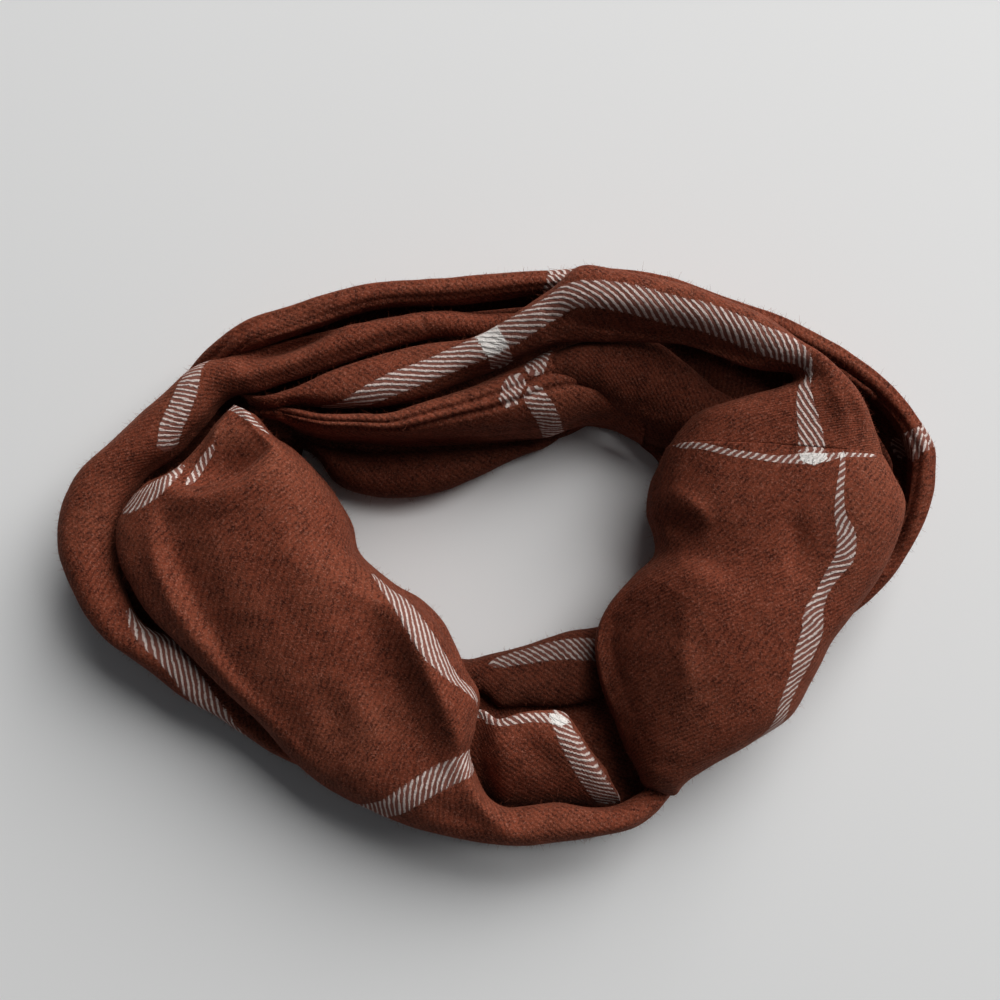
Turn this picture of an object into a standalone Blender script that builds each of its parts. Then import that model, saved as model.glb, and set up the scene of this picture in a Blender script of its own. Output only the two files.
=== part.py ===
"""Plaid loop scarf, laid in two turns as an oval ring with a folded edge.

Every visible stretch of the cloth is a thin wall lofted through a short table of
sections. The layers hidden below share one rounded ring with a flat underside.
Tables are in millimetres; the finished solids are in metres with +Z up.
"""

import math
from collections import namedtuple

import bmesh
import bpy
import numpy as np
from mathutils import Vector
from mathutils.bvhtree import BVHTree

MM = 0.001
CLOTH_WALL = 2.0
TUCK = 0.30
SHORT_DROP = 0.5
QUARTER_SAMPLES = 13
FOLD_SAMPLES = 15
FOLD_END_FADE = 0.05
LAYER_CLEARANCE = 0.7
CORE_LEAST_HEIGHT = 3.0
CORE_OPEN_HEIGHT = 14.5
CORE_EDGE_HEIGHT = 15.0
CORE_EDGE_SLOPE = 1.6
CORE_REACH = 12.0
CORE_SECTIONS = 92
CORE_ACROSS = 11
RING_CENTRE = (-5.0, -5.5)
EDGE_DEPTH = 3.5
EDGE_LAYERS = (
    (2.5, 0.0),
    (0.4, 0.13),
    (0.0, 0.3),
    (1.3, 0.48),
    (0.2, 0.66),
    (0.8, 0.86),
    (EDGE_DEPTH, 1.0),
)
MAP_HALF_LENGTH = 204.0
MAP_HALF_WIDTH = 140.0
MAP_STEP = 2.0
MAP_DEPTH = 10.0

BROWN = (0.29, 0.115, 0.075, 1.0)
BROWN_SHADE = (0.22, 0.085, 0.06, 1.0)
CLOTH_ROUGHNESS = 0.95

# One row is one section across a stretch. The outer and inner points are the
# widest points of the section, at is the place of the crest between them, and
# the drops are how far the cloth goes on below each widest point.
Section = namedtuple(
    "Section", "out_x out_y out_z in_x in_y in_z at top drop_out drop_in"
)

OUTER_HEM = (
    (-132, 89, 37, -126, 82, 39, 0.5, 44, 20, 0),
    (-119, 97, 42, -114, 87, 45, 0.5, 50, 26, 0),
    (-95, 105, 44, -91, 95, 47, 0.5, 52, 28, 0),
    (-60, 116, 44, -58, 105, 47, 0.5, 52, 28, 0),
    (-20, 119, 44, -19, 108, 47, 0.5, 52, 28, 0),
    (15, 122, 44, 14, 112, 47, 0.5, 51, 28, 0),
    (47, 123, 44, 46, 113, 46, 0.5, 50, 28, 0),
    (78, 118, 44, 75, 109, 46, 0.5, 50, 28, 0),
    (103, 109, 44, 99, 100, 46, 0.5, 50, 28, 0),
    (131, 99, 44, 126, 90, 46, 0.5, 50, 28, 0),
    (152, 87, 44, 145, 79, 46, 0.5, 50, 28, 0),
    (172, 71, 44, 165, 64, 46, 0.5, 50, 28, 0),
    (185, 53, 45, 177, 48, 47, 0.5, 51, 29, 0),
    (190, 42, 45, 181, 38, 47, 0.5, 51, 29, 0),
    (190, 30, 44, 181, 29, 46, 0.5, 50, 28, 0),
    (186, 10, 42, 178, 12, 44, 0.5, 48, 26, 0),
    (177, -9, 38, 169, -6, 40, 0.5, 44, 22, 0),
    (159, -30, 33, 152, -25, 35, 0.5, 39, 17, 0),
    (143, -43, 27, 138, -37, 29, 0.5, 33, 11, 0),
)

LEFT_ROLL = (
    (12, 106, 34, 6, 95, 36, 0.5, 40, 6, 1),
    (-8, 103, 39, -14, 93, 41, 0.5, 46, 10, 3),
    (-28, 104, 40, -31, 92, 42, 0.5, 50, 12, 3),
    (-56, 100, 40, -56, 86, 42, 0.5, 51, 12, 3),
    (-80, 92, 40, -80, 78, 42, 0.5, 51, 12, 3),
    (-104, 83, 40, -100, 71, 42, 0.5, 51, 12, 3),
    (-120, 77, 36, -110, 68, 40, 0.5, 50, 12, 4),
    (-138, 79, 31, -124, 66, 38, 0.5, 50, 13, 5),
    (-155, 67, 28, -136, 53, 37, 0.5, 50, 12, 5),
    (-175, 48, 28, -148, 41, 36, 0.5, 50, 12, 8),
    (-192, 32, 28, -163, 29, 35, 0.5, 49, 12, 8),
    (-200, 9, 28, -172.2, 9, 34, 0.5, 48, 12, 8),
    (-199, -6, 28, -174, -5, 34, 0.5, 48, 12, 8),
    (-190, -26, 27, -169, -22, 33, 0.5, 46, 11, 8),
    (-178, -43, 26, -161, -36, 32, 0.5, 43, 10, 8),
    (-159, -57, 25, -142, -44, 30, 0.45, 41, 9, 4),
    (-140, -71, 23, -126, -58, 26, 0.45, 35, 7, 2),
    (-118, -85, 20, -108, -74, 22, 0.45, 28, 4, 2),
    (-98, -97, 18.6, -91, -89, 21.6, 0.45, 24.6, 2, 1),
)

STRIPE_BAND = (
    (-108, 66, 39, -104, 61.1, 38, 0.5, 43, 2, 3),
    (-95, 69, 41, -92, 62, 40, 0.55, 47, 2, 4),
    (-78, 76, 42, -76, 61, 41, 0.6, 50, 2, 5),
    (-57, 83, 42, -58, 61, 42, 0.62, 52, 2, 5),
    (-33, 89, 43, -36, 65, 42, 0.6, 53, 2, 5),
    (-12, 92, 45, -16, 73, 43, 0.5, 56, 0, 5),
    (6, 100, 50, 2, 79.5, 45, 0.4, 61, 0, 5),
    (20, 109, 56, 15, 85, 48, 0.35, 67, 0, 5),
    (32, 118, 60, 27, 88, 50, 0.35, 73, 1, 4),
    (47, 117, 60, 44, 87.5, 52, 0.35, 75, 2, 3),
    (63, 114, 60, 62, 87, 53, 0.35, 75, 2, 3),
    (80, 110, 60, 79, 85.5, 55, 0.35, 74, 2, 4),
    (96, 104, 59, 93, 81, 57, 0.35, 73, 2, 5),
    (112, 97, 58, 106, 76, 57, 0.35, 72, 2, 5),
    (126, 88, 57, 117, 74, 57, 0.35, 71, 2, 5),
    (139, 79, 56, 126, 73, 57, 0.35, 71, 2, 4),
    (150, 68, 55, 127, 69, 55, 0.35, 71, 2, 4),
    (157, 58, 54, 118, 66, 52, 0.35, 71, 2, 5),
    (161, 50, 52, 103, 63, 48, 0.35, 70, 2, 8),
    (164, 43, 51, 86, 57, 44, 0.35, 69, 2, 14),
    (166, 36.4, 50, 74, 43, 38, 0.33, 68, 2, 20),
)

RIGHT_LOBE = (
    (166, 35.6, 50, 74, 42.2, 38, 0.33, 68, 2, 20),
    (171, 27, 48, 68, 29, 30, 0.3, 69, 2, 14),
    (175, 16, 46, 66, 15, 28, 0.3, 69, 2, 13),
    (172, 3, 46, 69, 4, 28, 0.3, 68, 2, 13),
    (166, -10, 46, 69, -5, 28, 0.3, 67, 2, 13),
    (158, -23, 45, 59, -15, 28, 0.3, 66, 2, 13),
    (150, -34, 44, 49, -26, 27, 0.3, 66, 3, 12),
    (142, -46, 41, 43, -38, 26, 0.3, 66, 6, 11),
    (139, -54, 36, 42, -46, 26, 0.31, 66, 18, 11),
    (135, -62, 31, 43, -55, 25, 0.32, 65, 15, 10),
    (126, -76, 28, 46, -67, 24, 0.34, 62, 12, 9),
    (109, -88, 26, 51, -80, 23, 0.36, 57, 10, 8),
    (93, -97, 25, 56, -93, 22, 0.4, 50, 9, 7),
    (78, -108, 28, 61, -103, 27, 0.5, 41, 2, 2),
)

LEFT_LOBE = (
    (-120, 61, 42, -111, 57, 40, 0.5, 46, 6, 6),
    (-127, 53, 43, -104, 49, 37, 0.55, 52, 8, 8),
    (-135, 42, 43, -94, 42, 34, 0.65, 57, 10, 10),
    (-146, 31, 42, -84, 32, 32, 0.7, 60, 12, 14),
    (-160, 24, 42, -76, 20, 30, 0.7, 62, 12, 15),
    (-170, 9, 42, -69, 8, 30, 0.72, 62, 12, 15),
    (-170, -6, 42, -66, -3, 30, 0.74, 62, 12, 15),
    (-163, -20, 42, -57, -12, 30, 0.76, 62, 8, 15),
    (-156, -31, 42, -47, -20, 30, 0.78, 62, 2, 15),
    (-144, -43, 42, -37, -26, 30, 0.8, 62, 2, 15),
    (-132, -55, 41, -28, -35, 30, 0.8, 62, 2, 15),
    (-119, -68, 39, -22, -46, 30, 0.8, 61, 2, 14),
    (-106, -80, 36, -17, -56, 31, 0.8, 60, 2, 10),
    (-93, -95, 32, -11, -67, 35, 0.8, 59, 3, 6),
    (-78, -108, 26, -12, -80, 38, 0.8, 57, 9, 3),
    (-60, -117, 25, -15, -91, 37, 0.8, 54, 9, 3),
    (-42, -124, 24, -12, -102, 35, 0.78, 50, 8, 3),
    (-24, -129, 24, -6, -112, 34, 0.68, 46, 8, 3),
    (-8, -132, 24, 1, -116, 33, 0.56, 43, 8, 3),
    (8, -133.5, 23, 9, -115.5, 33, 0.5, 42, 7, 1),
    (26, -132, 23, 24, -114, 32, 0.5, 42, 7, 1),
    (42, -130, 23, 40, -116, 32, 0.5, 41, 7, 1),
    (58, -126, 22, 52, -115, 30, 0.5, 38, 6, 1),
    (69, -119, 20, 62, -111, 26, 0.5, 32, 4, 2),
    (78, -109, 17, 71, -102, 18, 0.5, 22, 2, 1),
)

INNER_HEM = (
    (-106, 61, 33, -103, 56, 28, 0.5, 37, 2, 2),
    (-96, 60.5, 40, -96, 53, 24, 0.5, 44, 4, 4),
    (-80, 57.5, 42, -82, 49, 17, 0.5, 49, 5, 3),
    (-64, 57, 42, -66, 48, 14, 0.5, 50, 5, 2),
    (-50, 57, 42, -50, 47.5, 14, 0.5, 50, 5, 2),
    (-38, 61, 42, -36, 48, 14, 0.45, 50, 5, 2),
    (-24, 66, 42, -22, 48.5, 14, 0.42, 50, 5, 2),
    (-8, 72, 42, -6, 49, 14, 0.4, 50, 5, 2),
    (8, 79, 42, 8, 50, 14, 0.38, 50, 5, 2),
    (22, 85.9, 42, 22, 51, 15, 0.35, 49, 5, 2),
    (33, 86, 38, 36, 58, 20, 0.35, 44, 4, 2),
)

TWIST_FLAP = (
    (37, 89, 38, 44, 73, 28, 0.3, 42, 2, 2),
    (46, 90, 40, 51, 66, 13, 0.2, 45, 2, 2),
    (58, 90, 41, 60, 58, 10, 0.2, 46, 2, 2),
    (71, 88, 41, 68, 52, 10, 0.2, 46, 2, 2),
    (82, 83, 39, 74, 48, 11, 0.2, 43, 2, 2),
)

INNER_BACK_LAYER = (
    (-99, 54, 11, -97, 48, 10, 0.5, 17, 2, 4),
    (-88, 49, 10, -87, 41, 9, 0.5, 18, 3, 5),
    (-76, 46, 9, -79, 31, 8, 0.5, 19, 3, 5),
    (-62, 44.5, 9, -66, 25, 8, 0.5, 19, 3, 5),
    (-45, 45, 9, -47, 23, 8, 0.5, 19, 3, 5),
    (-26, 45, 9, -27, 27, 8, 0.5, 18, 3, 5),
    (-9, 46, 9, -8, 35, 8, 0.5, 16, 2, 4),
    (5, 48, 9, 8, 43, 8, 0.5, 13, 1, 3),
)

BOTTOM_TUCK = (
    (-20, -76, 26, -18, -108, 21, 0.3, 29, 3, 0),
    (-10, -74, 31, -9, -114, 17, 0.25, 33, 4, 1),
    (-3, -78, 37, -1, -118, 17, 0.25, 41, 4, 1),
    (8, -75, 39, 9, -118, 17, 0.25, 43, 4, 1),
    (17, -74, 39, 21, -117, 17, 0.25, 43, 4, 1),
    (27, -75, 38, 34, -117, 17, 0.25, 42, 4, 1),
    (36, -88, 33, 44, -117, 18, 0.3, 37, 4, 1),
    (46, -101, 27, 53, -116, 19, 0.4, 31, 3, 1),
)

INNER_FRONT_STRIP = (
    (-16, -53, 10, -9, -68, 11, 0.4, 16, 3, 1),
    (-6, -50, 9, -2, -74, 10, 0.35, 17, 4, 2),
    (8, -46, 9, 10, -74, 10, 0.35, 18, 4, 2),
    (22, -42, 9, 24, -74, 10, 0.35, 18, 4, 2),
    (34, -39, 9, 36, -72, 10, 0.35, 18, 4, 2),
    (41, -38, 9, 42, -70, 10, 0.4, 16, 4, 2),
)

# One row is one soft fold: its start, middle and end in plan, its width and
# how far it stands out of the cloth, negative for a trough.
Fold = namedtuple("Fold", "start_x start_y mid_x mid_y end_x end_y width height")

FOLDS = {
    "left_lobe": (
        (-150, 10, -138, -8, -122, -46, 7, -4.0),
        (-126, 52, -122, 38, -124, 22, 7, -4.5),
        (-168, 12, -164, -8, -148, -36, 7, 2.5),
        (-116, 56, -104, 44, -98, 24, 7, 3.0),
        (-20, -92, -18, -104, -8, -122, 6, 2.5),
    ),
    "right_lobe": (
        (78, 30, 76, 4, 74, -12, 8, 2.0),
        (66, -16, 58, -30, 58, -50, 8, 2.0),
        (148, 30, 150, 0, 134, -46, 9, 1.5),
    ),
    "inner_hem_band": ((-84, 53.5, -40, 52, 20, 72, 3.5, -2.0),),
    "stripe_band": ((-6, 92, 10, 98, 30, 108, 7, 1.5),),
    "bottom_tuck": ((6, -78, 14, -92, 30, -106, 7, -2.5),),
}

# One row is one section of the hidden layers: outer edge, then inner edge.
CoreSection = namedtuple("CoreSection", "out_x out_y in_x in_y")

HIDDEN_LAYERS = (
    (186, 20, 73, 20),
    (186, 44, 75, 40),
    (170, 66, 66, 49),
    (150, 83, 53, 62),
    (118, 98, 43, 60),
    (80, 111, 31, 54),
    (46, 117, 20, 51),
    (14, 117, 6, 49),
    (-20, 114, -14, 41),
    (-58, 110, -34, 32),
    (-92, 100, -50, 29),
    (-120, 90, -66, 31),
    (-141, 78, -93, 51),
    (-160, 61, -97, 43),
    (-180, 40, -90, 29),
    (-194, 20, -80, 18),
    (-197, 4, -76, 8),
    (-194, -12, -73, -2),
    (-182, -34, -64, -13),
    (-166, -50, -50, -22),
    (-142, -67, -37, -31),
    (-116, -83, -29, -44),
    (-92, -97, -22, -55),
    (-68, -111, -12, -55),
    (-40, -121, -4, -53),
    (-8, -129, 4, -51),
    (26, -129, 14, -48),
    (56, -122, 27, -45),
    (76, -108, 40, -43),
    (106, -87, 48, -40),
    (132, -66, 52, -34),
    (150, -40, 60, -22),
    (170, -14, 72, -8),
    (181, 4, 76, 2),
)


def clear_scene():
    for obj in list(bpy.data.objects):
        bpy.data.objects.remove(obj, do_unlink=True)


def cloth_material(name, colour):
    material = bpy.data.materials.new(name)
    material.use_nodes = True
    shader = material.node_tree.nodes["Principled BSDF"]
    shader.inputs["Base Color"].default_value = colour
    shader.inputs["Roughness"].default_value = CLOTH_ROUGHNESS
    shader.inputs["Metallic"].default_value = 0.0
    material.diffuse_color = colour
    return material


def spline(values, places, wanted, closed=False):
    """Smooth curve through the rows of values, read at the wanted places."""
    values = np.asarray(values, float)
    places = np.asarray(places, float)
    if closed:
        length = places[-1]
        steps = np.diff(places)
        before = -steps[::-1].cumsum()[:2][::-1]
        after = length + steps.cumsum()[:2]
        values = np.vstack([values[-3:-1], values, values[1:3]])
        places = np.concatenate([before, places, after])
    slopes = np.gradient(values, places, axis=0)
    right = np.clip(np.searchsorted(places, wanted), 1, len(places) - 1)
    left = right - 1
    step = (places[right] - places[left])[:, None]
    t = ((wanted - places[left]) / (places[right] - places[left]))[:, None]
    near = (1 + 2 * t) * (1 - t) ** 2
    near_slope = t * (1 - t) ** 2
    far = t**2 * (3 - 2 * t)
    far_slope = t**2 * (t - 1)
    return (
        near * values[left]
        + near_slope * step * slopes[left]
        + far * values[right]
        + far_slope * step * slopes[right]
    )


def lengthwise(rows, columns, count, closed=False):
    """The table's rows spread evenly along the stretch, count sections in all."""
    values = np.array(rows, float)
    if closed:
        values = np.vstack([values, values[:1]])
    ends = [values[:, columns.index(name)] for name in ("out_x", "out_y", "in_x", "in_y")]
    travel = np.hypot(np.diff(ends[0]), np.diff(ends[1]))
    travel = travel + np.hypot(np.diff(ends[2]), np.diff(ends[3]))
    places = np.concatenate([[0.0], travel.cumsum()])
    wanted = np.linspace(0.0, places[-1], count + 1)
    return spline(values, places, wanted, closed)


def profile(row, fullness, samples):
    """Points across one section: distance from the outer point, and height."""
    width = math.hypot(row.in_x - row.out_x, row.in_y - row.out_y)
    crest = width * row.at
    turn = np.linspace(0.0, math.pi / 2, QUARTER_SAMPLES)
    rise = np.sin(turn) ** fullness
    run = 1 - np.cos(turn) ** fullness
    out_foot = np.column_stack(
        [TUCK * row.drop_out * (1 - rise), row.out_z - row.drop_out * (1 - run)]
    )
    out_side = np.column_stack([crest * run, row.out_z + (row.top - row.out_z) * rise])
    in_side = np.column_stack(
        [width - (width - crest) * run, row.in_z + (row.top - row.in_z) * rise]
    )
    in_foot = np.column_stack(
        [width - TUCK * row.drop_in * (1 - rise), row.in_z - row.drop_in * (1 - run)]
    )
    parts = [out_side, in_side[::-1][1:]]
    if row.drop_out > SHORT_DROP:
        parts.insert(0, out_foot[:-1])
    if row.drop_in > SHORT_DROP:
        parts.append(in_foot[::-1][1:])
    line = np.vstack(parts)
    length = np.concatenate([[0.0], np.hypot(*np.diff(line, axis=0).T).cumsum()])
    wanted = np.linspace(0.0, length[-1], samples + 1)
    return np.column_stack([np.interp(wanted, length, line[:, k]) for k in (0, 1)])


def fold_offsets(points, folds):
    """How far each point moves out of the cloth for the folds of its stretch."""
    offset = np.zeros(points.shape[:2])
    for row in folds:
        fold = Fold(*row)
        t = np.linspace(0.0, 1.0, FOLD_SAMPLES)[:, None]
        start = np.array([fold.start_x, fold.start_y])
        middle = np.array([fold.mid_x, fold.mid_y])
        end = np.array([fold.end_x, fold.end_y])
        guide = 2 * middle - (start + end) / 2
        line = (1 - t) ** 2 * start + 2 * t * (1 - t) * guide + t**2 * end
        away = np.linalg.norm(points[:, :, None, :2] - line[None, None], axis=3)
        nearest = away.argmin(axis=2)
        along = FOLD_END_FADE + (1 - 2 * FOLD_END_FADE) * t[nearest, 0]
        fade = np.sqrt(np.sin(np.pi * along))
        offset += fold.height * fade * np.exp(-((away.min(axis=2) / fold.width) ** 2))
    return offset


def grid_normals(points):
    along = np.gradient(points, axis=0)
    across = np.gradient(points, axis=1)
    normals = np.cross(across, along)
    return normals / np.linalg.norm(normals, axis=2, keepdims=True)


def stretch_points(name, rows, lengthwise_count, across_count, fullness):
    """Outer face of one stretch of cloth as a grid of points."""
    table = lengthwise(rows, Section._fields, lengthwise_count)
    points = np.zeros((lengthwise_count + 1, across_count + 1, 3))
    for index, values in enumerate(table):
        row = Section(*values)
        width = math.hypot(row.in_x - row.out_x, row.in_y - row.out_y)
        heading = np.array([row.in_x - row.out_x, row.in_y - row.out_y]) / width
        line = profile(row, fullness, across_count)
        points[index, :, :2] = np.array([row.out_x, row.out_y]) + line[:, :1] * heading
        points[index, :, 2] = line[:, 1]
    normals = grid_normals(points)
    offset = fold_offsets(points, FOLDS.get(name, ()))
    return points + normals * offset[:, :, None]


def object_from(bm, name, colour):
    for vertex in bm.verts:
        vertex.co.x -= RING_CENTRE[0] * MM
        vertex.co.y -= RING_CENTRE[1] * MM
    mesh = bpy.data.meshes.new(name)
    bm.to_mesh(mesh)
    bm.free()
    mesh.shade_smooth()
    mesh.materials.append(cloth_material(name, colour))
    obj = bpy.data.objects.new(name, mesh)
    bpy.context.scene.collection.objects.link(obj)
    return obj


def make_stretch(name, rows, lengthwise_count, across_count, fullness, colour=BROWN):
    points = stretch_points(name, rows, lengthwise_count, across_count, fullness)
    bm = bmesh.new()
    bmesh.ops.create_grid(
        bm, x_segments=lengthwise_count, y_segments=across_count, size=1.0
    )
    for vertex in bm.verts:
        along = round((vertex.co.x + 1) / 2 * lengthwise_count)
        across = round((vertex.co.y + 1) / 2 * across_count)
        vertex.co = Vector(points[along, across] * MM)
    bmesh.ops.reverse_faces(bm, faces=bm.faces)
    obj = object_from(bm, name, colour)
    wall = obj.modifiers.new("cloth_wall", "SOLIDIFY")
    wall.thickness = CLOTH_WALL * MM
    wall.offset = -1.0
    wall.use_even_offset = True
    wall.use_quality_normals = True
    return obj


def inside_ring(places):
    """Whether each place lies between the two edges of the hidden layers."""
    table = lengthwise(HIDDEN_LAYERS, CoreSection._fields, CORE_SECTIONS, closed=True)
    angle = np.arctan2(places[..., 1], places[..., 0])
    radius = np.hypot(places[..., 0], places[..., 1])
    bounds = []
    for x, y in ((table[:-1, 0], table[:-1, 1]), (table[:-1, 2], table[:-1, 3])):
        turn = np.arctan2(y, x)
        bounds.append(np.interp(angle, turn, np.hypot(x, y), period=2 * math.pi))
    return (radius < bounds[0] - EDGE_DEPTH) & (radius > bounds[1] + EDGE_DEPTH)


def room_below(objects):
    """Map of the lowest cloth above each place of the floor, less the clearance.

    A hollow inside the ring is low, and the open floor around it sets no limit.
    """
    bpy.context.view_layer.update()
    graph = bpy.context.evaluated_depsgraph_get()
    trees = [BVHTree.FromObject(obj, graph) for obj in objects]
    xs = np.arange(-MAP_HALF_LENGTH, MAP_HALF_LENGTH, MAP_STEP)
    ys = np.arange(-MAP_HALF_WIDTH, MAP_HALF_WIDTH, MAP_STEP)
    places = np.stack(np.meshgrid(xs, ys, indexing="ij"), axis=2)
    places = places + np.array(RING_CENTRE)
    room = np.where(inside_ring(places), CORE_OPEN_HEIGHT, np.inf)
    upward = Vector((0.0, 0.0, 1.0))
    for i, x in enumerate(xs):
        for j, y in enumerate(ys):
            floor = Vector((x, y, -MAP_DEPTH)) * MM
            hits = [tree.ray_cast(floor, upward)[0] for tree in trees]
            heights = [hit.z / MM for hit in hits if hit is not None]
            if heights:
                room[i, j] = min(heights) - LAYER_CLEARANCE
    return places, room


def make_core(name, room_map):
    """The hidden layers: a rounded ring that fills the room below the stretches."""
    table = lengthwise(HIDDEN_LAYERS, CoreSection._fields, CORE_SECTIONS, closed=True)
    sections = []
    for values in table[:-1]:
        row = CoreSection(*values)
        outer = np.array([row.out_x, row.out_y])
        inner = np.array([row.in_x, row.in_y])
        width = np.linalg.norm(inner - outer)
        heading = (inner - outer) / width
        ring = rolled_edge(room_map, outer, heading)
        for share in (np.arange(CORE_ACROSS) + 0.5) / CORE_ACROSS:
            place = EDGE_DEPTH + (width - 2 * EDGE_DEPTH) * share
            spot = outer + heading * place
            ring.append((*spot, core_height(room_map, spot, min(place, width - place))))
        ring += rolled_edge(room_map, inner, -heading)[::-1]
        sections.append(ring)
    bm = bmesh.new()
    rings = []
    for ring in sections:
        rings.append([bm.verts.new(Vector(point) * MM) for point in ring])
    for near, far in zip(rings, rings[1:] + rings[:1]):
        for k in range(len(near)):
            following = (k + 1) % len(near)
            bm.faces.new((near[k], near[following], far[following], far[k]))
    bmesh.ops.recalc_face_normals(bm, faces=bm.faces)
    return object_from(bm, name, BROWN_SHADE)


def rolled_edge(room_map, edge, inward):
    """Two rolled layers of cloth at an edge of the hidden layers, floor to top."""
    height = min(CORE_EDGE_HEIGHT, core_height(room_map, edge, 0.0))
    return [
        (*(edge + inward * inset), height * share) for inset, share in EDGE_LAYERS
    ]


def core_height(room_map, spot, from_edge):
    """Height of the hidden layers at one spot, clear of the cloth above."""
    places, room = room_map
    near = np.hypot(*(places - spot).transpose(2, 0, 1)) < CORE_REACH
    height = min(CORE_EDGE_HEIGHT + CORE_EDGE_SLOPE * from_edge, room[near].min())
    return max(height, CORE_LEAST_HEIGHT)


def main():
    clear_scene()
    stretches = [
        make_stretch("outer_hem", OUTER_HEM, 48, 8, 0.85),
        make_stretch("left_roll", LEFT_ROLL, 44, 9, 0.9),
        make_stretch("stripe_band", STRIPE_BAND, 46, 9, 0.9),
        make_stretch("right_lobe", RIGHT_LOBE, 26, 13, 0.85),
        make_stretch("left_lobe", LEFT_LOBE, 46, 12, 0.85),
        make_stretch("inner_hem_band", INNER_HEM, 28, 8, 0.85),
        make_stretch("twist_flap", TWIST_FLAP, 10, 7, 1.0),
        make_stretch("inner_back_layer", INNER_BACK_LAYER, 20, 7, 0.9),
        make_stretch("bottom_tuck", BOTTOM_TUCK, 16, 9, 1.3),
        make_stretch("inner_front_strip", INNER_FRONT_STRIP, 12, 7, 0.9),
    ]
    make_core("hidden_layers", room_below(stretches))


main()
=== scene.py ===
import math
from collections import namedtuple

import bmesh
import bpy
import numpy as np
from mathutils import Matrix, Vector, noise


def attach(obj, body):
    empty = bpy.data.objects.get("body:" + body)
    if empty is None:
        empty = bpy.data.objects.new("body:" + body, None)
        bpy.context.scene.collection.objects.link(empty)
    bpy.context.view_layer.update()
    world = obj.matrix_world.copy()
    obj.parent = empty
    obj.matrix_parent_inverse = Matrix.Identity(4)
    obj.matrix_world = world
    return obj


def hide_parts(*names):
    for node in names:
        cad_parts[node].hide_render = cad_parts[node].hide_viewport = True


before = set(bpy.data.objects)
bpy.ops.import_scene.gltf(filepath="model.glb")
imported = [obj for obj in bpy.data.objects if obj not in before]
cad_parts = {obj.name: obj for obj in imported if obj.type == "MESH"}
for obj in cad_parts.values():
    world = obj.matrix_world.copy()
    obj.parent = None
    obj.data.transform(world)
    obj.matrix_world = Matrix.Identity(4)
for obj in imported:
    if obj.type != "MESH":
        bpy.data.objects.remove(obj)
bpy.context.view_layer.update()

# The floor and the light. The scarf lies on a plain pale sheet of paper. One large soft lamp
# lights it from the far right, with a weak fill from above and all round, and the camera
# looks down on it from nearly straight above.

FLOOR_REACH = 3.0
PAPER_COLOUR = (0.77, 0.78, 0.785, 1.0)
PAPER_ROUGHNESS = 0.9
ROOM_GLOW = (0.93, 0.96, 1.0, 1.0)
ROOM_GLOW_STRENGTH = 0.070
CAMERA_PLACE = (0.0036, -0.0300, 0.5569)
CAMERA_TILT = math.radians(6.0)
LENS_LENGTH = 42.0
SENSOR_WIDTH = 36.0


def plain_material(name, colour, roughness):
    material = bpy.data.materials.new(name)
    material.use_nodes = True
    shader = material.node_tree.nodes["Principled BSDF"]
    shader.inputs["Base Color"].default_value = colour
    shader.inputs["Roughness"].default_value = roughness
    return material


def soft_lamp(name, place, size, power, tint):
    """A square lamp that faces the middle of the scarf."""
    lamp = bpy.data.lights.new(name, "AREA")
    lamp.shape = "SQUARE"
    lamp.size = size
    lamp.energy = power
    lamp.color = tint
    holder = bpy.data.objects.new(name, lamp)
    holder.location = place
    holder.rotation_euler = (-Vector(place)).to_track_quat("-Z", "Y").to_euler()
    bpy.context.scene.collection.objects.link(holder)


floor_mesh = bpy.data.meshes.new("pale_floor")
bm = bmesh.new()
bmesh.ops.create_grid(bm, x_segments=1, y_segments=1, size=FLOOR_REACH)
bm.to_mesh(floor_mesh)
bm.free()
floor_mesh.materials.append(plain_material("floor_paper", PAPER_COLOUR, PAPER_ROUGHNESS))
pale_floor = bpy.data.objects.new("pale_floor", floor_mesh)
bpy.context.scene.collection.objects.link(pale_floor)

soft_lamp("window_light", place=(2.10, 2.60, 2.75), size=4.0, power=240.0, tint=(1.0, 0.985, 0.97))
soft_lamp("room_light", place=(0.2, 0.1, 2.4), size=2.0, power=0.8, tint=(0.95, 0.98, 1.0))
world = bpy.data.worlds.new("soft_room")
world.use_nodes = True
world.node_tree.nodes["Background"].inputs["Color"].default_value = ROOM_GLOW
world.node_tree.nodes["Background"].inputs["Strength"].default_value = ROOM_GLOW_STRENGTH
bpy.context.scene.world = world
bpy.context.scene.view_settings.view_transform = "Standard"
bpy.context.scene.view_settings.look = "Medium High Contrast"

lens = bpy.data.cameras.new("photo_lens")
lens.lens = LENS_LENGTH
lens.sensor_width = SENSOR_WIDTH
camera = bpy.data.objects.new("photo_camera", lens)
camera.location = CAMERA_PLACE
camera.rotation_euler = (CAMERA_TILT, 0.0, 0.0)
bpy.context.scene.collection.objects.link(camera)
bpy.context.scene.camera = camera

# The flannel itself: soft cotton and wool yarns about 1 mm apart, woven in twill, dyed rust
# brown with a wide white windowpane check, and brushed so that a short nap veils the lines.

MM = 0.001
TWILL_PITCH = 3.2 * MM
STRIPE_WAYS = ("lengthwise", "crosswise")

BROWN = (0.222, 0.0640, 0.0360, 1.0)
BROWN_DEEP = (0.040, 0.0110, 0.0075, 1.0)
BROWN_WORN = (0.262, 0.090, 0.053, 1.0)
FIBRE_PALE = (0.400, 0.185, 0.135, 1.0)
STRIPE_GAP = (0.240, 0.105, 0.082, 1.0)
YARN_WHITE = (0.72, 0.62, 0.58, 1.0)
YARN_BRIGHT = (0.80, 0.77, 0.74, 1.0)
SHEEN_TINT = (0.95, 0.50, 0.36, 1.0)

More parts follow.
